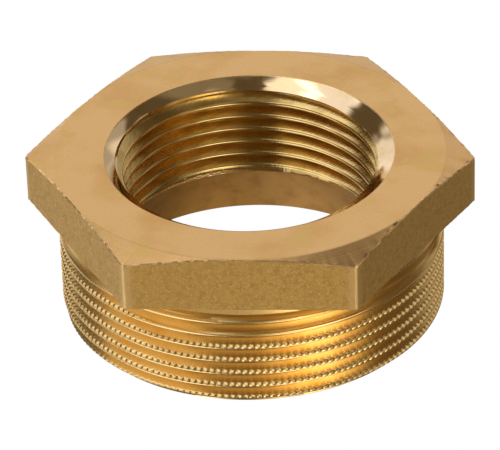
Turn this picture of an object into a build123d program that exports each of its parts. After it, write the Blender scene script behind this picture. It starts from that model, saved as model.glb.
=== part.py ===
from build123d import *
import math
import os

os.makedirs("parts", exist_ok=True)

# Hexagon reducing bushing in brass: a pipe thread outside, a smaller pipe thread inside.
# It stands on its thread end. The origin is the centre of that end face, and +Z runs up
# the common axis of both threads to the hexagon. Two corners of the hexagon lie on X.
# Both threads are drawn as plain cylinders: the outer one at its crests, the inner one
# at its crests too, which are its smallest diameter.

# Outer thread, pipe size 2 inch, 11 turns per inch
spigot_length = 17.5
outer_crest_diameter = 59.614
outer_lead_in = 1.5
collar_height = 0.9
outer_relief_depth = 0.9
outer_relief_width = 1.2
outer_relief_side_angle = 27.5

# Hexagon head, whose flats stand just outside the crests of the outer thread
flat_overhang = 0.193
hex_height = 9.0
hex_corner_radius = 0.8
hex_lower_edge_break = 0.3
hex_chamfer_angle = 14.0

# Inner thread, pipe size 1 1/4 inch, 11 turns per inch
inner_crest_diameter = 38.952
inner_thread_depth = 15.9
countersink_width = 2.774
countersink_angle = 110.0

# Relief behind the inner thread, and the tapered core hole that opens at the thread end
inner_relief_depth = 2.074
inner_relief_width = 0.9
inner_relief_shoulder_height = 0.7
end_face_width = 3.207
core_mouth_break = 0.3

# Heights above the thread end
shoulder_z = spigot_length
top_z = shoulder_z + hex_height
collar_z = shoulder_z - collar_height
outer_thread_top_z = collar_z - outer_relief_width
inner_thread_end_z = top_z - inner_thread_depth
inner_relief_top_z = inner_thread_end_z - inner_relief_shoulder_height
core_top_z = inner_relief_top_z - inner_relief_width

# Radii of the spigot, and of the hexagon that is built out from it. The collar is a
# band of the turned blank, as wide as the crests, and the top face reaches the flats.
crest_radius = outer_crest_diameter / 2
outer_relief_radius = crest_radius - outer_relief_depth
end_face_radius = crest_radius - outer_lead_in
hex_apothem = crest_radius + flat_overhang
face_radius = hex_apothem

# Radii of the bore, and of the core hole, which leaves a ring of metal at the thread end
bore_radius = inner_crest_diameter / 2
rim_radius = bore_radius + countersink_width
inner_relief_radius = bore_radius + inner_relief_depth
core_mouth_radius = end_face_radius - end_face_width

# The countersink cuts away the first part of the inner thread
countersink_depth = countersink_width / math.tan(math.radians(countersink_angle / 2))

# The sides of the outer relief slope as the thread's own flanks do
relief_side = outer_relief_depth * math.tan(math.radians(outer_relief_side_angle))

# The turned cone that takes the corners off the hexagon runs out past them
cone_reach = 2 * hex_apothem
cone_drop = (cone_reach - face_radius) * math.tan(math.radians(hex_chamfer_angle))

with BuildPart() as bushing:
    # Forged hexagon, with its corners slightly rounded and its lower edge broken
    with BuildSketch(Plane.XY.offset(shoulder_z)):
        RegularPolygon(radius=hex_apothem, side_count=6, major_radius=False)
        fillet(vertices(), radius=hex_corner_radius)
    extrude(amount=hex_height)
    chamfer(faces().sort_by(Axis.Z)[0].edges(), length=hex_lower_edge_break)

    # Flat top face that falls away as a cone towards the corners
    with BuildSketch(Plane.XZ):
        with BuildLine():
            Polyline(
                (0, top_z),
                (face_radius, top_z),
                (cone_reach, top_z - cone_drop),
                (cone_reach, 0),
                (0, 0),
                close=True,
            )
        make_face()
    revolve(axis=Axis.Z, mode=Mode.INTERSECT)

    # Spigot: lead-in, thread crests, relief groove, and the collar under the hexagon
    with BuildSketch(Plane.XZ):
        with BuildLine():
            Polyline(
                (0, 0),
                (end_face_radius, 0),
                (crest_radius, outer_lead_in),
                (crest_radius, outer_thread_top_z),
                (outer_relief_radius, outer_thread_top_z + relief_side),
                (outer_relief_radius, collar_z - relief_side),
                (crest_radius, collar_z),
                (crest_radius, shoulder_z),
                (0, shoulder_z),
                close=True,
            )
        make_face()
    revolve(axis=Axis.Z)

    # Bore: countersink, thread crests, relief shoulder, and the core hole to the thread end
    with BuildSketch(Plane.XZ):
        with BuildLine():
            Polyline(
                (0, top_z),
                (rim_radius, top_z),
                (bore_radius, top_z - countersink_depth),
                (bore_radius, inner_thread_end_z),
                (inner_relief_radius, inner_relief_top_z),
                (inner_relief_radius, core_top_z),
                (core_mouth_radius, 0),
                (0, 0),
                close=True,
            )
        make_face()
    revolve(axis=Axis.Z, mode=Mode.SUBTRACT)

    # Sharp inner edge of the thread end, broken
    end_face = faces().filter_by(Axis.Z).sort_by(Axis.Z)[0]
    chamfer(end_face.edges().sort_by(SortBy.RADIUS)[0], length=core_mouth_break)

bushing.part.label = "hex_bushing"
export_step(bushing.part, "parts/hex_bushing.step")
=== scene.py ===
"""Looks of a brass hexagon reducing bushing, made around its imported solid.

The bushing is one piece of brass with a worked surface of its own on every side. The
script lays the blank out as one closed skin, cuts both pipe threads and the notches of
the outer one with Geometry Nodes, gives each surface its finish, and sets the studio.
"""

import logging
import math
from collections.abc import Callable, Mapping, Sequence
from dataclasses import dataclass, field
from enum import Enum, IntEnum
from typing import Any

import bpy
from mathutils import Matrix, Vector


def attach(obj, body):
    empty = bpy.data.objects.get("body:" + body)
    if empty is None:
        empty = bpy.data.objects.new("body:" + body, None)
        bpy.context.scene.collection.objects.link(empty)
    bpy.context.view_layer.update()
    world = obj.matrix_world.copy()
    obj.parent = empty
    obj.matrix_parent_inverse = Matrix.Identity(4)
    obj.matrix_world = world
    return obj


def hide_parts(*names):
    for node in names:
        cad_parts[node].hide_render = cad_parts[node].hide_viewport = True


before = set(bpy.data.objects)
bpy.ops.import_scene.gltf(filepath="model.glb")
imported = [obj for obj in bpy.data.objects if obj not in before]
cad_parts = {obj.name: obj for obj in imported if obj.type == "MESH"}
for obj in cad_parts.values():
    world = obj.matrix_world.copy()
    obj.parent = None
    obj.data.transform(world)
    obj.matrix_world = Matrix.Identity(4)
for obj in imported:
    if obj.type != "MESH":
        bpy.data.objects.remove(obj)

MM = 0.001
FULL_TURN = 2 * math.pi
DEGREES = 180 / math.pi
SIDES = 6
SIDE_ANGLE = FULL_TURN / SIDES
FIRST_ANGLE = math.radians(-0.151)
GROOVE_LEAN = 0.5
NODE = "hex_bushing"

Ring = list[int]
Colour = tuple[float, float, float]
Settings = Mapping[str, Any] | None
Socket = bpy.types.NodeSocket
Sockets = Mapping[int | str, Any] | None

WHITE: Colour = (1.0, 1.0, 1.0)
WARM: Colour = (1.0, 0.94, 0.83)
GOLDEN: Colour = (1.0, 0.88, 0.64)

log = logging.getLogger("bushing")


class Tool(IntEnum):
    """The cutting tool that reaches a point of the blank."""

    NONE = 0
    OUTER = 1
    INNER = 2


class Area(IntEnum):
    """A worked surface of the bushing, with a finish of its own."""

    TOP = 1
    BEVEL = 2
    FLATS = 3
    UNDERSIDE = 4
    COLLAR = 5
    RELIEF = 6
    OUTER_THREAD = 7
    SINK = 8
    INNER_THREAD = 9
    CORE = 10
    END = 11


class Direction(Enum):
    """The direction that the fine lines of a tool run in."""

    FACING = "rings on a face"
    TURNING = "rings on a wall"
    GROOVE = "rings on a slope"
    CHATTER = "bars across the cut"


class NodeSheet:
    """A node tree while it is being drawn."""

    def __init__(self, tree: bpy.types.NodeTree) -> None:
        """Start drawing on a tree, without the nodes that it came with."""
        self.tree = tree
        tree.nodes.clear()

    def node(self, kind: str, settings: Settings = None, sockets: Sockets = None) -> bpy.types.Node:
        """Add one node.

        Args:
            kind: the node's type.
            settings: what is set on the node itself, before its sockets.
            sockets: a value or a link for each input socket, by place, identifier or name.

        Returns:
            The new node.
        """
        made = self.tree.nodes.new(kind)
        for name, value in (settings or {}).items():
            setattr(made, name, value)
        for key, value in (sockets or {}).items():
            socket = self.find(made.inputs, key)
            value = value.socket if isinstance(value, Value) else value
            if isinstance(value, Socket):
                self.tree.links.new(value, socket)
            else:
                socket.default_value = (*value, 1.0) if socket.type == "RGBA" else value
        return made

    def out(
        self, kind: str, settings: Settings = None, sockets: Sockets = None, key: int | str = 0
    ) -> Socket:
        """Add one node and give its output at a place or with a name."""
        return self.find(self.node(kind, settings, sockets).outputs, key)

    def value(self, kind: str, settings: Settings, sockets: Sockets) -> "Value":
        """Add one node and wrap its first output as a number to calculate with."""
        return Value(self, self.out(kind, settings, sockets))

    def vector(self, operation: str, first: Any, second: Any) -> Socket:
        """Calculate with two vectors, or with a vector and its scale."""
        sockets = {0: first, "Scale" if operation == "SCALE" else 1: second}
        return self.out("ShaderNodeVectorMath", {"operation": operation}, sockets)

    def split(self, vector: Socket) -> list["Value"]:
        """Take a vector apart into its three numbers."""
        return [Value(self, s) for s in self.node("ShaderNodeSeparateXYZ", sockets={0: vector}).outputs]

    def join(self, *numbers: Any) -> Socket:
        """Put three numbers together as a vector."""
        return self.out("ShaderNodeCombineXYZ", sockets=dict(enumerate(numbers)))

    def noise(self, place: Socket, size: float, detail: float) -> "Value":
        """Make noise from 0 to 1, whose spots are about size apart, in metres."""
        sockets = {"Vector": place, "Scale": 1.0 / size, "Detail": detail, "Roughness": 0.55}
        return self.value("ShaderNodeTexNoise", {}, sockets)

    def mix(self, share: "Value", first: Any, second: Any) -> Socket:
        """Blend two colours by a share of the second."""
        sockets = {"Factor_Float": share, "A_Color": first, "B_Color": second}
        return self.out("ShaderNodeMix", {"data_type": "RGBA"}, sockets, "Result_Color")

    @staticmethod
    def find(sockets: Any, key: int | str) -> Socket:
        """Find a socket by its place, its identifier or its name."""
        same = [] if isinstance(key, int) else [s for s in sockets if s.identifier == key]
        return same[0] if same else sockets[key]


def _operator(operation: str, swapped: bool = False) -> Callable[..., "Value"]:
    """Make a method of Value that adds one Math node.

    Args:
        operation: the node's operation.
        swapped: whether the number itself comes last, as in 1 - value.

    Returns:
        The method, which takes the other terms.
    """

    def method(self: "Value", *others: Any) -> "Value":
        """Add the node and wrap its result."""
        terms = (*others, self) if swapped else (self, *others)
        return self.sheet.value("ShaderNodeMath", {"operation": operation}, dict(enumerate(terms)))

    return method


class Value:
    """A number in a node tree, with Python's operators for its maths.

    least and most give the smaller and the larger of two numbers, and their eased forms
    do so softly where the two come within a distance of each other. fraction and whole
    take a number apart, and y.angle_over(x) is the angle of the point (x, y).
    """

    def __init__(self, sheet: NodeSheet, socket: Socket) -> None:
        """Wrap the output socket that gives the number."""
        self.sheet = sheet
        self.socket = socket

    __add__ = _operator("ADD")
    __radd__ = _operator("ADD", swapped=True)
    __sub__ = _operator("SUBTRACT")
    __rsub__ = _operator("SUBTRACT", swapped=True)
    __mul__ = _operator("MULTIPLY")
    __truediv__ = _operator("DIVIDE")
    __rtruediv__ = _operator("DIVIDE", swapped=True)
    __pow__ = _operator("POWER")
    __abs__ = _operator("ABSOLUTE")
    least = _operator("MINIMUM")
    most = _operator("MAXIMUM")
    eased_least = _operator("SMOOTH_MIN")
    eased_most = _operator("SMOOTH_MAX")
    fraction = _operator("FRACT")
    whole = _operator("FLOOR")
    angle_over = _operator("ARCTAN2")

    def length_with(self, other: "Value") -> "Value":
        """Give how far the point (self, other) is from the origin."""
        return (self * self + other * other) ** 0.5

    def spread(self, start: Any, end: Any, low: Any = 0.0, high: Any = 1.0, soft: bool = False) -> "Value":
        """Map a range onto another one, and hold it at both ends.

        Args:
            start: the number that gives low.
            end: the number that gives high.
            low: the result at start and before it.
            high: the result at end and after it.
            soft: whether the way between them eases in and out.

        Returns:
            The mapped number.
        """
        settings = {"interpolation_type": "SMOOTHSTEP" if soft else "LINEAR"}
        sockets = {"Value": self, "From Min": start, "From Max": end, "To Min": low, "To Max": high}
        return self.sheet.value("ShaderNodeMapRange", settings, sockets)


@dataclass(frozen=True)
class ToolMarks:
    """Fine uneven lines that a tool leaves, about a pitch apart."""

    direction: Direction
    pitch: float
    depth: float

    def relief(self, sheet: NodeSheet, place: Socket) -> Value:
        """Give the height of the lines.

        Args:
            sheet: the material's tree.
            place: the object coordinates.

        Returns:
            The height in metres.
        """
        x, y, z = sheet.split(place)
        radius = x.length_with(y)
        along = {
            Direction.FACING: lambda: radius,
            Direction.TURNING: lambda: z,
            Direction.GROOVE: lambda: z + radius * GROOVE_LEAN,
            Direction.CHATTER: lambda: y.angle_over(x) * radius,
        }[self.direction]()
        sockets = {"W": along / self.pitch, "Scale": 1.0, "Detail": 2.0, "Roughness": 0.6}
        return sheet.value("ShaderNodeTexNoise", {"noise_dimensions": "1D"}, sockets) * self.depth


def lines(direction: Direction, *sizes: tuple[float, float]) -> tuple[ToolMarks, ...]:
    """Give tool marks in one direction, each with a pitch and a depth in millimetres."""
    return tuple(ToolMarks(direction, pitch * MM, depth * MM) for pitch, depth in sizes)


@dataclass(frozen=True)
class BrassFinish:
    """The finish of one worked surface, as a procedural material.

    Lengths are in metres. Depths are the height of the relief that the light shows. The
    tarnish and the flecks show where a noise from 0 to 1 is above the numbers given.
    """

    name: str
    metal: Colour
    tarnish: Colour
    tarnish_size: float
    roughness: float
    tarnish_from: float = 0.45
    tarnish_to: float = 0.8
    roughness_change: float = 0.08
    marks: tuple[ToolMarks, ...] = ()
    grain_size: float = 0.3 * MM
    grain_depth: float = 0.0
    fleck: Colour | None = None
    fleck_size: float = 0.5 * MM
    fleck_from: float = 0.6
    fleck_fade: float = 0.08
    worn_corner: Colour | None = None
    corner_width: float = 1.3 * MM
    corner_core: float = 0.6
    corner_cover: float = 0.8

    def material(self) -> bpy.types.Material:
        """Build the finish.

        Returns:
            The material, ready to be set on its faces.
        """
        made = bpy.data.materials.new(self.name)
        made.use_nodes = True
        made.diffuse_color = (*self.metal, 1.0)
        sheet = NodeSheet(made.node_tree)
        place = sheet.out("ShaderNodeTexCoord", key="Object")
        tarnish = sheet.noise(place, self.tarnish_size, detail=5.0)
        stained = tarnish.spread(self.tarnish_from, self.tarnish_to, soft=True)
        colour = sheet.mix(stained, self.metal, self.tarnish)
        grain = sheet.noise(place, self.grain_size, detail=4.0)
        if self.fleck is not None:
            flecks = sheet.noise(place, self.fleck_size, detail=2.0)
            shown = flecks.spread(self.fleck_from, self.fleck_from + self.fleck_fade, soft=True)
            colour = sheet.mix(shown, colour, self.fleck)
        if self.worn_corner is not None:
            colour = sheet.mix(self._corner(sheet, place, grain), colour, self.worn_corner)
        height = grain * self.grain_depth
        for marks in self.marks:
            height = height + marks.relief(sheet, place)
        bump = sheet.out("ShaderNodeBump", sockets={"Distance": MM, "Height": height / MM})
        uneven = (grain - 0.5) * self.roughness_change
        roughness = self.roughness + uneven + stained * self.roughness_change * 0.5
        surface = {"Base Color": colour, "Metallic": 1.0, "Roughness": roughness, "Normal": bump}
        shader = sheet.out("ShaderNodeBsdfPrincipled", sockets=surface)
        sheet.node("ShaderNodeOutputMaterial", sockets={"Surface": shader})
        return made

    def _corner(self, sheet: NodeSheet, place: Socket, grain: Value) -> Value:
        """Mark the worn strips beside the hexagon's corners.

        Args:
            sheet: the material's tree.
            place: the object coordinates.
            grain: the noise that makes the strips uneven.

        Returns:
            How worn each point is, from 0 to 1.
        """
        x, y, _ = sheet.split(place)
        sixths = y.angle_over(x) * SIDES / FULL_TURN
        aside = abs((sixths + 0.5).fraction() - 0.5) * SIDE_ANGLE * x.length_with(y)
        uneven = (grain - 0.5) * self.corner_width * 2
        core = self.corner_width * self.corner_core
        return (aside + uneven).spread(self.corner_width, core, 0.0, self.corner_cover, soft=True)


FINISHES: dict[Area, BrassFinish] = {
    Area.TOP: BrassFinish(
        "faced_brass", metal=(0.83, 0.545, 0.265), tarnish=(0.70, 0.415, 0.15), tarnish_size=10 * MM,
        tarnish_from=0.42, roughness=0.27, roughness_change=0.05,
        marks=lines(Direction.FACING, (0.35, 0.003), (1.2, 0.006)),
        grain_size=0.5 * MM, grain_depth=0.001 * MM,
        fleck=(0.76, 0.52, 0.21), fleck_size=5 * MM,
    ),
    Area.BEVEL: BrassFinish(
        "worn_edge_brass", metal=(0.95, 0.72, 0.42), tarnish=(0.80, 0.50, 0.20), tarnish_size=2 * MM,
        tarnish_to=0.7, roughness=0.28, roughness_change=0.1,
        grain_depth=0.01 * MM,
    ),
    Area.FLATS: BrassFinish(
        "forged_brass", metal=(0.73, 0.475, 0.155), tarnish=(0.56, 0.345, 0.105), tarnish_size=0.9 * MM,
        tarnish_from=0.3, roughness=0.48, roughness_change=0.15,
        grain_size=0.22 * MM, grain_depth=0.03 * MM,
        fleck=(0.80, 0.55, 0.22), fleck_size=0.35 * MM, fleck_from=0.55,
        worn_corner=(0.80, 0.57, 0.26),
    ),
    Area.UNDERSIDE: BrassFinish(
        "underside_brass", metal=(0.72, 0.46, 0.2), tarnish=(0.45, 0.27, 0.1), tarnish_size=4 * MM,
        tarnish_to=0.75, roughness=0.45, roughness_change=0.1,
        marks=lines(Direction.FACING, (0.3, 0.006)),
    ),
    Area.COLLAR: BrassFinish(
        "collar_brass", metal=(0.94, 0.67, 0.31), tarnish=(0.86, 0.58, 0.22), tarnish_size=4 * MM,
        roughness=0.28,
        marks=lines(Direction.TURNING, (0.12, 0.004)),
    ),
    Area.RELIEF: BrassFinish(
        # Metal and tarnish darker than the collar's: painted shade in the relief groove under the collar.
        "relief_brass", metal=(0.76, 0.52, 0.19), tarnish=(0.68, 0.44, 0.15), tarnish_size=4 * MM,
        roughness=0.3,
        marks=lines(Direction.TURNING, (0.12, 0.004)),
    ),
    Area.OUTER_THREAD: BrassFinish(
        "thread_brass", metal=(0.94, 0.68, 0.31), tarnish=(0.88, 0.58, 0.22), tarnish_size=5 * MM,
        roughness=0.22, roughness_change=0.04,
        marks=lines(Direction.GROOVE, (0.35, 0.0015)),
    ),
    Area.SINK: BrassFinish(
        "countersink_brass", metal=(0.93, 0.73, 0.49), tarnish=(0.8, 0.52, 0.24), tarnish_size=5 * MM,
        tarnish_from=0.5, tarnish_to=0.85, roughness=0.075, roughness_change=0.05,
        marks=lines(Direction.FACING, (0.15, 0.0015), (0.5, 0.0025)),
    ),
    Area.INNER_THREAD: BrassFinish(
        "tapped_brass", metal=(0.79, 0.59, 0.26), tarnish=(0.58, 0.40, 0.14), tarnish_size=4 * MM,
        roughness=0.14, roughness_change=0.06,
        marks=lines(Direction.GROOVE, (0.12, 0.003)) + lines(Direction.CHATTER, (0.3, 0.015)),
    ),
    Area.CORE: BrassFinish(
        # Dark brown metal and tarnish: painted shade deep in the core hole, which the light reaches only
        # through the bore.
        "cored_brass", metal=(0.43, 0.235, 0.065), tarnish=(0.33, 0.165, 0.04), tarnish_size=3 * MM,
        tarnish_from=0.4, roughness=0.5, roughness_change=0.1,
        marks=lines(Direction.TURNING, (0.4, 0.004)),
        grain_size=0.4 * MM, grain_depth=0.02 * MM,
    ),
    Area.END: BrassFinish(
        "end_face_brass", metal=(0.84, 0.55, 0.26), tarnish=(0.6, 0.35, 0.12), tarnish_size=6 * MM,
        roughness=0.35,
        marks=lines(Direction.FACING, (0.25, 0.006)),
    ),
}


@dataclass(frozen=True)
class Notches:
    """Notches across the upper edge of a thread's crests, which hold the packing.

    Each one starts on the crest, start away from its middle, and its floor runs down into
    the flank with the rise, which is depth for height. Its sides meet those of the next.
    Crests above the limit have none, and the floor comes up to them with limit_rise.
    """

    count: int = 177
    first_angle: float = FIRST_ANGLE
    start: float = -0.08 * MM
    rise: float = 1.04
    side_slope: float = 0.52
    limit: float = 12.56 * MM
    limit_rise: float = 3.0
    unevenness: float = 0.03 * MM
    turn_step: float = 7.0


@dataclass(frozen=True)
class PipeThread:
    """Sizes of one parallel pipe thread, and where its crests run.

    The rows say where the skin has points across one pitch, measured up from the middle
    of a crest as shares of the pitch. crest_height is a crest's middle at angle 0.
    """

    tool: Tool
    crest_radius: float
    crest_height: float
    low: float
    high: float
    rows: tuple[float, ...]
    fade: float = 0.5 * MM
    pitch: float = 2.309 * MM
    depth: float = 1.479 * MM
    flat: float = 0.385 * MM
    slope: float = 1.921
    crest_ease: float = 0.37 * MM
    root_ease: float = 0.37 * MM
    notches: Notches | None = None

    def height(self, row: int, angle: float) -> float:
        """Give the height of a row of the skin at an angle."""
        turns, place = divmod(row, len(self.rows))
        return self.crest_height + self.pitch * (turns + self.rows[place] + angle / FULL_TURN)

    def row_range(self) -> range:
        """Give the rows that cover the thread from its low end to its high end."""
        per_turn = len(self.rows)
        first = math.floor((self.low - self.crest_height) / self.pitch) - 2
        last = math.ceil((self.high - self.crest_height) / self.pitch) + 1
        return range(first * per_turn, last * per_turn + 1)


def columns(count: int) -> list[float]:
    """Give the angles of evenly spaced columns, from the middle of the first notch on."""
    return [FIRST_ANGLE + FULL_TURN * i / count for i in range(count)]


@dataclass
class Skin:
    """The points and faces of one closed skin, laid out ring by ring.

    The rings follow the section of the bushing: up the outside, in over the top, down the
    bore and out over the thread end. Faces that are laid in that order point outwards.
    """

    points: list[tuple[float, float, float]] = field(default_factory=list)
    tools: list[int] = field(default_factory=list)
    wear: list[float] = field(default_factory=list)
    faces: list[tuple[int, ...]] = field(default_factory=list)
    areas: list[int] = field(default_factory=list)

    def point(
        self, radius: float, angle: float, height: float, tool: Tool = Tool.NONE, wear: float = 0.0
    ) -> int:
        """Add a point.

        Args:
            radius: its distance from the axis.
            angle: its angle about the axis.
            height: its height above the thread end.
            tool: the thread tool that reaches it.
            wear: how far wear may move it, in metres.

        Returns:
            The point's number.
        """
        self.points.append((radius * math.cos(angle), radius * math.sin(angle), height))
        self.tools.append(int(tool))
        self.wear.append(wear)
        return len(self.points) - 1

    def circle(self, radius: float, height: float, angles: Sequence[float], **extra: Any) -> Ring:
        """Add a ring of points at some angles, with what else a point takes."""
        return [self.point(radius, angle, height, **extra) for angle in angles]

    def face(self, corners: Sequence[int], area: Area) -> None:
        """Add a face, without the corners that fall together."""
        kept = [c for i, c in enumerate(corners) if c != corners[i - 1]]
        if len(set(kept)) > 2:
            self.faces.append(tuple(kept))
            self.areas.append(int(area))

    def wall(self, start: Ring, end: Ring, area: Area) -> Ring:
        """Join a ring to the next one, which may also have half or twice as many points.

        Args:
            start: the ring.
            end: the next one.
            area: the surface between them.

        Returns:
            The next ring.
        """
        steps = min(len(start), len(end))
        below, above = len(start) // steps, len(end) // steps
        for i in range(steps):
            j = (i + 1) % steps
            near, far = start[(i + 1) * below - 1], end[(i + 1) * above - 1]
            self.face((start[i * below], near, far, end[i * above]), area)
            self.face((near, start[j * below], end[j * above], far), area)
        return end

    def thread(
        self, thread: PipeThread, angles: Sequence[float],
        blank: Callable[[float], float], area: Callable[[float], Area],
    ) -> tuple[Ring, Ring]:
        """Lay out the skin that a thread is cut into, with its rows along the helix.

        Args:
            thread: the thread's sizes.
            angles: the angles of the columns.
            blank: the radius of the uncut blank at a height.
            area: the surface that a height belongs to.

        Returns:
            The rings at its low end and at its high end.
        """
        per_turn = len(thread.rows)
        rows = thread.row_range()
        low = self.circle(blank(thread.low), thread.low, angles, tool=thread.tool)
        high = self.circle(blank(thread.high), thread.high, angles, tool=thread.tool)
        grid: list[dict[int, int]] = []
        for column, angle in enumerate(angles):
            numbers: dict[int, int] = {}
            for row in range(rows.start, rows.stop + per_turn + 1):
                height = thread.height(row, angle)
                if height <= thread.low:
                    numbers[row] = low[column]
                elif height >= thread.high:
                    numbers[row] = high[column]
                else:
                    numbers[row] = self.point(blank(height), angle, height, tool=thread.tool)
            grid.append(numbers)
        count = len(angles)
        for column in range(count):
            after = grid[(column + 1) % count]
            skip = per_turn if column + 1 == count else 0
            for row in rows:
                corners = (grid[column][row], after[row + skip], after[row + 1 + skip], grid[column][row + 1])
                surface = area(thread.height(row, angles[column]))
                for part in self._folded(thread, column, row, corners, count):
                    self.face(part if thread.tool is Tool.OUTER else part[::-1], surface)
        return low, high

    @staticmethod
    def _folded(
        thread: PipeThread, column: int, row: int, corners: tuple[int, ...], count: int
    ) -> list[tuple[int, ...]]:
        """Fold a face of the skin along the edge of the notch that crosses it.

        A notch is as wide as four columns. Its outline rises from its start on the crest
        to the crest's upper edge two columns away, and from there to its end on the flank.

        Args:
            thread: the thread's sizes.
            column: the face's column.
            row: its lower row.
            corners: its corners, from the lower left one.
            count: how many columns go round.

        Returns:
            The face in one part or two.
        """
        if thread.notches is None:
            return [corners]
        rows = thread.rows
        edge = min(range(len(rows)), key=lambda i: abs(rows[i] * thread.pitch - thread.flat / 2))
        cell = (row % len(rows) - edge, column % (count // thread.notches.count))
        a, b, c, d = corners
        if cell in {(-2, 0), (-1, 1), (0, 2), (1, 3)}:
            return [(a, b, c), (a, c, d)]
        if cell in {(-2, 3), (-1, 2), (0, 1), (1, 0)}:
            return [(a, b, d), (b, c, d)]
        return [corners]

    def mesh(self, name: str) -> bpy.types.Mesh:
        """Make the mesh, with the attributes that the node tree reads.

        Args:
            name: the mesh's name.

        Returns:
            The mesh.
        """
        made = bpy.data.meshes.new(name)
        made.from_pydata(self.points, [], self.faces)
        made.attributes.new("tool", "INT", "POINT").data.foreach_set("value", self.tools)
        made.attributes.new("wear", "FLOAT", "POINT").data.foreach_set("value", self.wear)
        made.attributes.new("area", "INT", "FACE").data.foreach_set("value", self.areas)
        made.validate()
        made.update()
        return made


@dataclass(frozen=True)
class HexHead:
    """The forged hexagon, with a turned top face that falls away towards the corners.

    Rings of points follow the fold between the flat face and its cone. Each pair of crease
    says how far outside the fold one runs, and how far inside the outline at the least.
    """

    apothem: float = 30.0 * MM
    shoulder: float = 17.5 * MM
    top: float = 26.5 * MM
    corner_radius: float = 0.8 * MM
    least_corner: float = 0.1 * MM
    lower_break: float = 0.3 * MM
    cone_angle: float = math.radians(14)
    edge_round: float = 0.14 * MM
    edge_wear: float = 0.25 * MM
    upper_wear: float = 0.35 * MM
    worn_strip: float = 0.4 * MM
    corner_columns: int = 12
    crease: tuple[tuple[float, float], ...] = (
        (0.2 * MM, 0.05 * MM), (0.0, 0.1 * MM), (-0.2 * MM, 0.15 * MM),
    )

    def outline(self, inset: float, count: int) -> list[tuple[float, float]]:
        """Give the hexagon's outline as radius and angle, column by column.

        Args:
            inset: how far inside the flats it runs.
            count: how many columns go round.

        Returns:
            The radius and the angle of each point.
        """
        half_side = SIDE_ANGLE / 2
        apothem = self.apothem - inset
        corner = max(self.corner_radius - inset, self.least_corner)
        centre = (apothem - corner) / math.cos(half_side)
        flat_reach = math.atan2(centre * math.sin(half_side), apothem)
        per_side = count // SIDES
        half_corner = self.corner_columns // 2
        flat_steps = per_side - self.corner_columns
        found: list[tuple[float, float]] = []
        for column in range(count):
            side, place = divmod(column, per_side)
            if half_corner <= place <= half_corner + flat_steps:
                lean = flat_reach * (2 * (place - half_corner) / flat_steps - 1)
                found.append((apothem / math.cos(lean), half_side + side * SIDE_ANGLE + lean))
                continue
            before = place < half_corner
            turn = (side if before else side + 1) * SIDE_ANGLE
            swing = half_side * (place if before else place - per_side) / half_corner
            point = Vector((centre + corner * math.cos(swing), corner * math.sin(swing)))
            found.append((point.length, turn + math.atan2(point.y, point.x)))
        return found

    def face_height(self, radius: float) -> float:
        """Give the height of the top face or its cone at a radius."""
        return self.top - max(0.0, radius - self.apothem) * math.tan(self.cone_angle)

    def build(self, skin: Skin, collar: Ring) -> Ring:
        """Lay out the head, from the collar to the edge of the flat top face.

        Args:
            skin: the skin to add to.
            collar: the ring where the collar meets the underside.

        Returns:
            The ring around the flat top face.
        """
        count = len(collar)
        low = self.shoulder + self.lower_break
        edge, strip, top = self.edge_round, self.worn_strip, self.face_height
        rings = (
            (self.lower_break, lambda r: self.shoulder, 0.0, Area.UNDERSIDE),
            (0.0, lambda r: low, self.edge_wear, Area.FLATS),
            (0.0, lambda r: low + strip, 0.0, Area.FLATS),
            (0.0, lambda r: top(r) - edge - strip, 0.0, Area.FLATS),
            (0.0, lambda r: top(r) - edge, self.upper_wear, Area.FLATS),
            (edge, top, self.edge_wear, Area.BEVEL),
            (edge + strip, top, 0.0, Area.TOP),
        )
        ring = collar
        for inset, height, wear, area in rings:
            following = [skin.point(r, a, height(r), wear=wear) for r, a in self.outline(inset, count)]
            ring = skin.wall(ring, following, area)
        for past, clear in self.crease:
            following = []
            for radius, angle in self.outline(edge + strip, count):
                reach = min(self.apothem + past, radius - clear)
                following.append(skin.point(reach, angle, top(reach)))
            ring = skin.wall(ring, following, Area.TOP)
        return ring


@dataclass(frozen=True)
class Spigot:
    """The threaded spigot: lead-in, thread, relief groove and collar."""

    lead_in: float = 1.5 * MM
    relief_depth: float = 0.9 * MM
    relief_side: float = 0.4685 * MM
    relief_low: float = 15.4 * MM
    relief_high: float = 16.6 * MM
    collar_top: float = 17.5 * MM
    collar_slope: float = 0.28 * MM
    edge_round: float = 0.06 * MM
    thread: PipeThread = PipeThread(
        tool=Tool.OUTER,
        crest_radius=29.807 * MM,
        crest_height=-0.4805 * MM,
        low=0.0,
        high=15.4 * MM,
        rows=(-0.44, -0.378, -0.122, -0.075, -0.0217, 0.0309, 0.0834, 0.1456, 0.2079, 0.378, 0.44),
        notches=Notches(),
    )

    def blank(self, height: float) -> float:
        """Give the radius of the uncut spigot at a height."""
        return self.thread.crest_radius - max(0.0, self.lead_in - height)

    def build(self, skin: Skin, angles: Sequence[float]) -> tuple[Ring, Ring]:
        """Lay out the spigot, from the thread end to the underside of the head.

        Args:
            skin: the skin to add to.
            angles: the angles of the columns.

        Returns:
            The rings at the thread end and at the top of the collar.
        """
        crest = self.thread.crest_radius
        low, ring = skin.thread(self.thread, angles, self.blank, lambda height: Area.OUTER_THREAD)
        section = (
            (crest - self.relief_depth / 2, self.relief_low + self.relief_side / 2),
            (crest - self.relief_depth, self.relief_low + self.relief_side),
            (crest - self.relief_depth, self.relief_high - self.relief_side),
            (crest - self.edge_round, self.relief_high - self.edge_round / 2),
            (crest, self.relief_high + self.edge_round),
            (crest - self.collar_slope, self.collar_top),
        )
        for radius, height in section:
            tool = Tool.OUTER if height < self.relief_high - self.relief_side else Tool.NONE
            area = Area.RELIEF if height < self.relief_high else Area.COLLAR
            ring = skin.wall(ring, skin.circle(radius, height, angles, tool=tool), area)
        return low, ring


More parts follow.
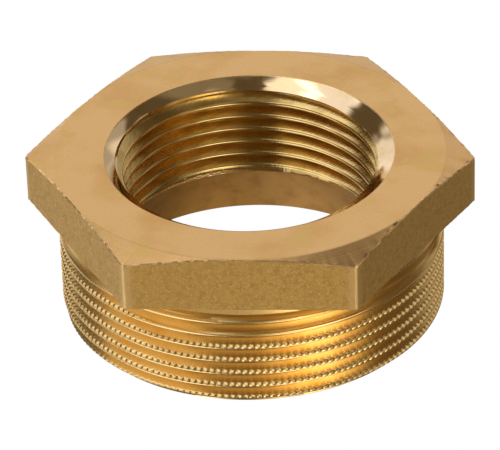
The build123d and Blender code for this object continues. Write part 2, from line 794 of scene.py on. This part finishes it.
@dataclass(frozen=True)
class Bore:
    """The bore: countersink, inner thread, relief behind it, and the tapered core hole.

    The rim of the countersink is broken, the ridge is where the first thread runs out in
    it, and a burr stands where the relief meets the core hole.
    """

    top: float = 26.5 * MM
    rim_radius: float = 22.25 * MM
    rim_break: float = 0.08 * MM
    rim_wear: float = 0.02 * MM
    lip_inset: float = 0.06 * MM
    lip_drop: float = 0.1 * MM
    sink_slope: float = math.tan(math.radians(55))
    sink_foot: float = 19.7 * MM
    ridge_radius: float = 21.05 * MM
    ridge_drift: float = 0.3 * MM
    ridge_lift: float = 0.05 * MM
    relief_radius: float = 21.55 * MM
    relief_top: float = 9.9 * MM
    core_top: float = 9.0 * MM
    burr_height: float = 0.15 * MM
    burr_reach: float = 0.08 * MM
    burr_wear: float = 0.16 * MM
    burr_foot: float = 0.3 * MM
    mouth_radius: float = 25.1 * MM
    mouth_inset: float = 0.1 * MM
    mouth_break: float = 0.3 * MM
    thread: PipeThread = PipeThread(
        tool=Tool.INNER,
        crest_radius=19.476 * MM,
        crest_height=22.478 * MM,
        low=10.6 * MM,
        high=25.4 * MM,
        rows=(-0.44, -0.378, -0.13, -0.1, -0.07, -0.03, 0.03, 0.07, 0.1, 0.13, 0.378, 0.44),
        crest_ease=0.25 * MM,
    )

    def blank(self, height: float) -> float:
        """Give the radius of the untapped bore at a height."""
        return max(self.thread.crest_radius, self.rim_radius - (self.top - height) * self.sink_slope)

    def area(self, height: float) -> Area:
        """Give the surface that a height of the untapped bore belongs to."""
        return Area.SINK if self.blank(height) > self.sink_foot else Area.INNER_THREAD

    def build(self, skin: Skin, face: Ring, end: Ring) -> None:
        """Lay out the top face inside its edge, the bore and the thread end.

        Args:
            skin: the skin to add to.
            face: the ring around the flat top face.
            end: the ring around the thread end.
        """
        angles = columns(len(face) // 2)
        rim = skin.circle(self.rim_radius + self.rim_break, self.top, angles, wear=self.rim_wear)
        skin.wall(face, rim, Area.TOP)
        lip = skin.circle(self.rim_radius - self.lip_inset, self.top - self.lip_drop, angles)
        skin.wall(rim, lip, Area.BEVEL)
        ridge = []
        for angle in angles:
            radius = self.ridge_radius + self.ridge_drift * math.cos(angle)
            height = self.top - (self.rim_radius - radius) / self.sink_slope + self.ridge_lift
            ridge.append(skin.point(radius, angle, height))
        skin.wall(lip, ridge, Area.SINK)
        ring, high = skin.thread(self.thread, angles, self.blank, self.area)
        skin.wall(ridge, high, Area.SINK)
        section = (
            (self.relief_radius, self.relief_top, Area.INNER_THREAD, 0.0),
            (self.relief_radius, self.core_top + self.burr_height, Area.INNER_THREAD, 0.0),
            (self.relief_radius - self.burr_reach, self.core_top, Area.BEVEL, self.burr_wear),
            (self.relief_radius + self.burr_height, self.core_top - self.burr_foot, Area.CORE, 0.0),
            (self.mouth_radius - self.mouth_inset, self.mouth_break, Area.CORE, 0.0),
            (self.mouth_radius + self.mouth_break, 0.0, Area.BEVEL, 0.0),
        )
        for radius, height, area, wear in section:
            ring = skin.wall(ring, skin.circle(radius, height, angles, wear=wear), area)
        skin.wall(ring, end, Area.END)


class ThreadingTree:
    """Geometry Nodes that cut the threads, wear the edges and give each surface its finish."""

    WEAR_SIZE = 0.55 * MM
    SEED = 7.0

    def __init__(self, name: str, threads: Sequence[PipeThread], reach: Sequence[float]) -> None:
        """Start the tree with a named input for each size.

        Args:
            name: the tree's name.
            threads: the threads to cut.
            reach: how far from the origin wear may leave a point along X, Y and Z.
        """
        self.threads = threads
        self.tree = bpy.data.node_groups.new(name, "GeometryNodeTree")
        self.sheet = NodeSheet(self.tree)
        self.values = {"Wear Size": self.WEAR_SIZE, "Seed": self.SEED}
        self.values |= {f"Reach {axis}": length for axis, length in zip("XYZ", reach)}
        for thread in threads:
            self._note(thread.tool.name, thread)
            if thread.notches is not None:
                self._note("notch", thread.notches)
        for way in ("INPUT", "OUTPUT"):
            self.tree.interface.new_socket("Geometry", in_out=way, socket_type="NodeSocketGeometry")
        for size in self.values:
            self.tree.interface.new_socket(size, in_out="INPUT", socket_type="NodeSocketFloat")
        entry = self.sheet.node("NodeGroupInput")
        self.geometry = entry.outputs["Geometry"]
        self.inputs = {size: Value(self.sheet, entry.outputs[size]) for size in self.values}

    def _note(self, owner: str, sizes: PipeThread | Notches) -> None:
        """Note the sizes that cut a thread or its notches, as Outer Crest Radius and so on."""
        for name, number in vars(sizes).items():
            if type(number) in (int, float) and name != "low":
                self.values[f"{owner} {name}".replace("_", " ").title()] = float(number)

    def draw(self, finishes: Mapping[Area, bpy.types.Material]) -> None:
        """Draw the whole tree.

        Args:
            finishes: the material of each surface.
        """
        geometry = self.geometry
        for thread in self.threads:
            geometry = self._cut(geometry, thread)
        geometry = self._wear(geometry)
        geometry = self.sheet.out("GeometryNodeRealizeInstances", sockets={0: geometry})
        for place, material in finishes.items():
            chosen = self._marked("area", place)
            sockets = {"Geometry": geometry, "Selection": chosen, "Material": material}
            geometry = self.sheet.out("GeometryNodeSetMaterial", sockets=sockets)
        self.sheet.node("NodeGroupOutput", sockets={0: geometry})

    def _attribute(self, name: str, kind: str) -> Socket:
        """Read a named attribute of the skin."""
        node = self.sheet.node("GeometryNodeInputNamedAttribute", {"data_type": kind}, {"Name": name})
        return node.outputs["Attribute"]

    def _marked(self, name: str, number: int) -> Socket:
        """Choose what an attribute of the skin marks with a number."""
        sockets = {"A_INT": self._attribute(name, "INT"), "B_INT": int(number)}
        return self.sheet.out("FunctionNodeCompare", {"data_type": "INT", "operation": "EQUAL"}, sockets)

    def _cut(self, geometry: Socket, thread: PipeThread) -> Socket:
        """Cut one thread into the points that its tool reaches.

        Args:
            geometry: the blank.
            thread: the thread, for its tool and whether it has notches.

        Returns:
            The blank with the thread.
        """
        title = f"{thread.tool.name.title()} "
        size = {name.removeprefix(title): value for name, value in self.inputs.items()}
        outside = thread.tool is Tool.OUTER
        x, y, z = self.sheet.split(self.sheet.out("GeometryNodeInputPosition"))
        radius = x.length_with(y)
        angle = y.angle_over(x)
        turns = (z - size["Crest Height"]) / size["Pitch"] - angle / FULL_TURN
        across = ((turns + 0.5).fraction() - 0.5) * size["Pitch"]
        runout = z.spread(size["High"], size["High"] + size["Fade"] * (1 if outside else -1))
        flank = (abs(across) - size["Flat"] / 2) * size["Slope"]
        rounded = flank.eased_most(0.0, size["Crest Ease"]).eased_least(size["Depth"], size["Root Ease"])
        cut = rounded * (1 - runout if outside else runout)
        crest = size["Crest Radius"]
        wanted = radius.least(crest - cut) if outside else radius.most(crest + cut)
        if thread.notches is not None:
            wanted = wanted.least(self._notch_floor(crest, across, angle, z))
        scale = wanted / radius
        moved = self.sheet.join(x * scale, y * scale, z)
        reached = self._marked("tool", thread.tool)
        sockets = {"Geometry": geometry, "Selection": reached, "Position": moved}
        return self.sheet.out("GeometryNodeSetPosition", sockets=sockets)

    def _notch_floor(self, crest: Value, across: Value, angle: Value, height: Value) -> Value:
        """Give the radius of the notches' floors and sides at a point.

        Args:
            crest: the crest's radius.
            across: how far above a crest's middle the point is.
            angle: the point's angle.
            height: its height.

        Returns:
            The radius that a notch leaves.
        """
        size = self.inputs
        tooth = (angle - size["Notch First Angle"]) * size["Notch Count"] / FULL_TURN
        aside = abs((tooth + 0.5).fraction() - 0.5) * FULL_TURN * crest / size["Notch Count"]
        turn = (height / size["Outer Pitch"] + 0.5).whole()
        number = (tooth + 0.5).whole() + turn * size["Notch Turn Step"]
        sockets = {"W": number + size["Seed"]}
        chance = self.sheet.value("ShaderNodeTexWhiteNoise", {"noise_dimensions": "1D"}, sockets)
        uneven = chance * size["Notch Unevenness"]
        over = (height - across - size["Notch Limit"]).most(0.0) * size["Notch Limit Rise"]
        floor = crest - (across - size["Notch Start"]) * size["Notch Rise"]
        return floor + aside * size["Notch Side Slope"] + uneven + over

    def _wear(self, geometry: Socket) -> Socket:
        """Nick and burr the edges that are marked for wear.

        Args:
            geometry: the threaded blank.

        Returns:
            The geometry with uneven edges.
        """
        sheet, size = self.sheet, self.inputs
        place = sheet.out("GeometryNodeInputPosition")
        sockets = {"Vector": place, "W": size["Seed"], "Scale": 1.0 / size["Wear Size"], "Detail": 2.0}
        noise = sheet.out("ShaderNodeTexNoise", {"noise_dimensions": "4D"}, sockets, "Color")
        centred = sheet.vector("SUBTRACT", noise, (0.5, 0.5, 0.5))
        moved = sheet.vector("ADD", place, sheet.vector("SCALE", centred, self._attribute("wear", "FLOAT")))
        reach = sheet.join(*(size[f"Reach {axis}"] for axis in "XYZ"))
        held = sheet.vector("MINIMUM", moved, reach)
        inside = sheet.vector("MAXIMUM", held, sheet.vector("SCALE", reach, -1.0))
        return sheet.out("GeometryNodeSetPosition", sockets={"Geometry": geometry, "Position": inside})

    def apply(self, piece: bpy.types.Object) -> None:
        """Run the tree on a piece and keep the result as a plain mesh.

        Args:
            piece: the object with the blank's mesh, which ends with no modifier left.
        """
        modifier = piece.modifiers.new(self.tree.name, "NODES")
        modifier.node_group = self.tree
        for item in self.tree.interface.items_tree:
            if item.name in self.values:
                modifier[item.identifier] = self.values[item.name]
        bpy.context.view_layer.update()
        evaluated = piece.evaluated_get(bpy.context.evaluated_depsgraph_get())
        finished = bpy.data.meshes.new_from_object(evaluated)
        piece.modifiers.remove(modifier)
        piece.data = finished


@dataclass(frozen=True)
class Bushing:
    """The whole bushing, as one closed piece of brass. Four columns go to each notch."""

    spigot: Spigot = Spigot()
    head: HexHead = HexHead()
    bore: Bore = Bore()
    columns: int = 708
    sharp_angle: float = math.radians(30)
    clearance: float = 0.001 * MM

    @property
    def reach(self) -> tuple[float, float, float]:
        """Give how far out along each axis wear may leave a point, inside the solid's box."""
        head = self.head
        corner = (head.apothem - head.corner_radius) / math.cos(SIDE_ANGLE / 2) + head.corner_radius
        return corner - self.clearance, head.apothem, head.top

    def build(self) -> bpy.types.Object:
        """Make the piece and dress it.

        Returns:
            The finished object.
        """
        skin = Skin()
        end, collar = self.spigot.build(skin, columns(self.columns))
        self.bore.build(skin, self.head.build(skin, collar), end)
        piece = bpy.data.objects.new("bushing_body", skin.mesh("bushing_body"))
        bpy.context.scene.collection.objects.link(piece)
        tree = ThreadingTree("cut_threads", (self.spigot.thread, self.bore.thread), self.reach)
        tree.draw({area: finish.material() for area, finish in FINISHES.items()})
        tree.apply(piece)
        piece.data.shade_smooth()
        piece.data.set_sharp_from_angle(angle=self.sharp_angle)
        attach(piece, "root")
        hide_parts(NODE)
        return piece


@dataclass(frozen=True)
class Softbox:
    """A soft light far from the bushing, as a patch of the room that glows.

    All angles are in degrees. The azimuth runs from +X towards +Y, and the patch lies
    between two elevations, of which those below zero stand for the lit floor.
    """

    azimuth: float
    half_width: float
    low: float
    high: float
    softness: float
    radiance: float
    colour: Colour = WARM

    def glow(self, sheet: NodeSheet, ahead: Value, left: Value, up: Value) -> Socket:
        """Give the light that comes from a direction of the room.

        Args:
            sheet: the world's tree.
            ahead: how far the direction goes along X.
            left: how far it goes along Y.
            up: its elevation in degrees.

        Returns:
            The colour of the light.
        """
        turn = math.radians(self.azimuth)
        across = left * math.cos(turn) - ahead * math.sin(turn)
        along = ahead * math.cos(turn) + left * math.sin(turn)
        aside = abs(across.angle_over(along)) * DEGREES
        half = self.softness / 2
        shown = aside.spread(self.half_width + half, self.half_width - half, soft=True)
        if self.low > -90:
            shown = shown * up.spread(self.low - half, self.low + half, soft=True)
        shown = shown * up.spread(self.high + half, self.high - half, soft=True)
        return sheet.vector("SCALE", self.colour, shown * self.radiance)


@dataclass(frozen=True)
class Studio:
    """A plain pale floor and plain soft light around the bushing."""

    floor_size: float = 6.0
    floor_drop: float = 0.02 * MM
    fill: Colour = (0.10, 0.072, 0.036)
    lights: tuple[Softbox, ...] = tuple(Softbox(*patch) for patch in (
        (-150, 30, 58, 77, 4, 1.15),
        (-150, 30, 35, 58, 4, 0.85, WHITE),
        (-110, 12, 37, 54, 6, 0.7),
        (-154, 30, -8, 30, 8, 0.55),
        (-148, 32, -35, -8, 8, 0.75),
        (-150, 32, -90, -35, 8, 1.45, WHITE),
        (-98, 20, -10, 5, 6, 0.55, GOLDEN),
        (-52, 12, -14, 40, 6, 2.2),
        (-22, 17, 20, 50, 6, 0.55),
        (10, 15, 20, 37, 6, 0.35),
        (-30, 10, -10, 20, 8, 0.4, GOLDEN),
        (-50, 34, -90, -33, 8, 0.5, GOLDEN),
        (-53, 18, -68, -38, 5, 1.5),
        (-36, 10, -8, 6, 6, 0.9),
        (-46, 18, 42, 68, 8, 0.3),
        (-70, 10, -14, 8, 6, 1.1, GOLDEN),
        (-70, 9, 8, 38, 6, 0.3),
        (-18, 42, 56, 79, 6, 0.13, GOLDEN),
        (86, 48, 4, 37, 5, 0.33),
        (102, 34, 24, 52, 5, 0.48),
        (92, 16, 2, 16, 6, 0.35),
        (118, 32, 52, 74, 8, 0.85),
        (147, 7, 46, 60, 4, 0.9),
        (128, 12, -50, -14, 8, 0.85, WHITE),
        (151, 11, -14, 15, 6, 1.0),
        (119, 15, 0, 20, 4, 0.45, WHITE),
        (40, 17, -12, 20, 8, 0.4),
        (90, 34, -10, 5, 6, 0.35),
        (162, 18, -90, -14, 8, 0.3, WHITE),
        (30, 12, -60, -12, 8, 0.2, WHITE),
        (172, 20, 44, 79, 4, 0.9, WHITE),
        (0, 190, 82, 95, 4, 0.16),
    ))

    def build(self) -> None:
        """Lay the floor and light the room."""
        self._floor()
        self._room()

    def _floor(self) -> None:
        """Lay a pale floor under the thread end, which the room's light passes through.

        It is clear from below, so the thread end can be looked at too.
        """
        half = self.floor_size / 2
        mesh = bpy.data.meshes.new("floor")
        corners = [(-half, -half, 0.0), (half, -half, 0.0), (half, half, 0.0), (-half, half, 0.0)]
        mesh.from_pydata(corners, [], [(0, 1, 2, 3)])
        floor = bpy.data.objects.new("floor", mesh)
        bpy.context.scene.collection.objects.link(floor)
        floor.location.z = -self.floor_drop
        floor.visible_diffuse = floor.visible_glossy = floor.visible_shadow = False
        material = bpy.data.materials.new("pale_floor")
        material.use_nodes = True
        sheet = NodeSheet(material.node_tree)
        glow = sheet.out("ShaderNodeEmission", sockets={"Color": WHITE})
        clear = sheet.out("ShaderNodeBsdfTransparent")
        below = sheet.out("ShaderNodeNewGeometry", key="Backfacing")
        shown = sheet.out("ShaderNodeMixShader", sockets={0: below, 1: glow, 2: clear})
        sheet.node("ShaderNodeOutputMaterial", sockets={"Surface": shown})
        mesh.materials.append(material)

    def _room(self) -> None:
        """Light the room with softboxes and a dim fill, and show it pale to the camera."""
        world = bpy.data.worlds.new("room")
        bpy.context.scene.world = world
        world.use_nodes = True
        sheet = NodeSheet(world.node_tree)
        ahead, left, above = sheet.split(sheet.out("ShaderNodeTexCoord", key="Generated"))
        up = above.angle_over(ahead.length_with(left)) * DEGREES
        total = sheet.join(*self.fill)
        for light in self.lights:
            total = sheet.vector("ADD", total, light.glow(sheet, ahead, left, up))
        seen = sheet.out("ShaderNodeLightPath", key="Is Camera Ray")
        lit = sheet.out("ShaderNodeBackground", sockets={"Color": total})
        plain = sheet.out("ShaderNodeBackground", sockets={"Color": WHITE})
        shown = sheet.out("ShaderNodeMixShader", sockets={0: seen, 1: lit, 2: plain})
        sheet.node("ShaderNodeOutputWorld", sockets={"Surface": shown})


@dataclass(frozen=True)
class StudioCamera:
    """The camera, at the place that fits the outline and the threads of the photograph.

    Angles are in radians. The centre is where the lens axis meets the image, in pixels.
    """

    elevation: float = 0.5819
    turn: float = 0.0674
    roll: float = -0.0329
    distance: float = 597.8 * MM
    target_height: float = 14.0 * MM
    focal_pixels: float = 3858.5
    centre: tuple[float, float] = (251.394, 219.043)
    image: tuple[int, int] = (500, 450)
    sensor: float = 36.0
    nearest: float = 10 * MM

    def build(self) -> None:
        """Set the camera up, turned about the axis, raised and then rolled."""
        width, height = self.image
        lens = bpy.data.cameras.new("camera")
        lens.sensor_fit = "HORIZONTAL"
        lens.sensor_width = self.sensor
        lens.lens = self.focal_pixels * self.sensor / width
        lens.shift_x = (width / 2 - self.centre[0]) / width
        lens.shift_y = (self.centre[1] - height / 2) / width
        lens.clip_start = self.nearest
        spin = Matrix.Rotation(self.turn, 3, "Z")
        ahead = spin @ Vector((0.0, math.cos(self.elevation), -math.sin(self.elevation)))
        right = spin @ Vector((1.0, 0.0, 0.0))
        above = spin @ Vector((0.0, math.sin(self.elevation), math.cos(self.elevation)))
        tilted_right = right * math.cos(self.roll) + above * math.sin(self.roll)
        tilted_above = above * math.cos(self.roll) - right * math.sin(self.roll)
        place = Vector((0.0, 0.0, self.target_height)) - ahead * self.distance
        made = bpy.data.objects.new("camera", lens)
        axes = Matrix((tilted_right, tilted_above, -ahead)).transposed()
        made.matrix_world = Matrix.Translation(place) @ axes.to_4x4()
        bpy.context.scene.collection.objects.link(made)
        bpy.context.scene.camera = made


def main() -> None:
    """Build the bushing, the studio and the camera, in that order, and report on them."""
    logging.basicConfig(level=logging.INFO, format="%(name)s: %(message)s")
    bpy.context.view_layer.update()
    piece = Bushing().build()
    piece.data.calc_loop_triangles()
    log.info("piece %s: %d triangles", piece.name, len(piece.data.loop_triangles))
    Studio().build()
    StudioCamera().build()
    bpy.context.scene.view_settings.view_transform = "Standard"


if __name__ == "__main__":
    main()
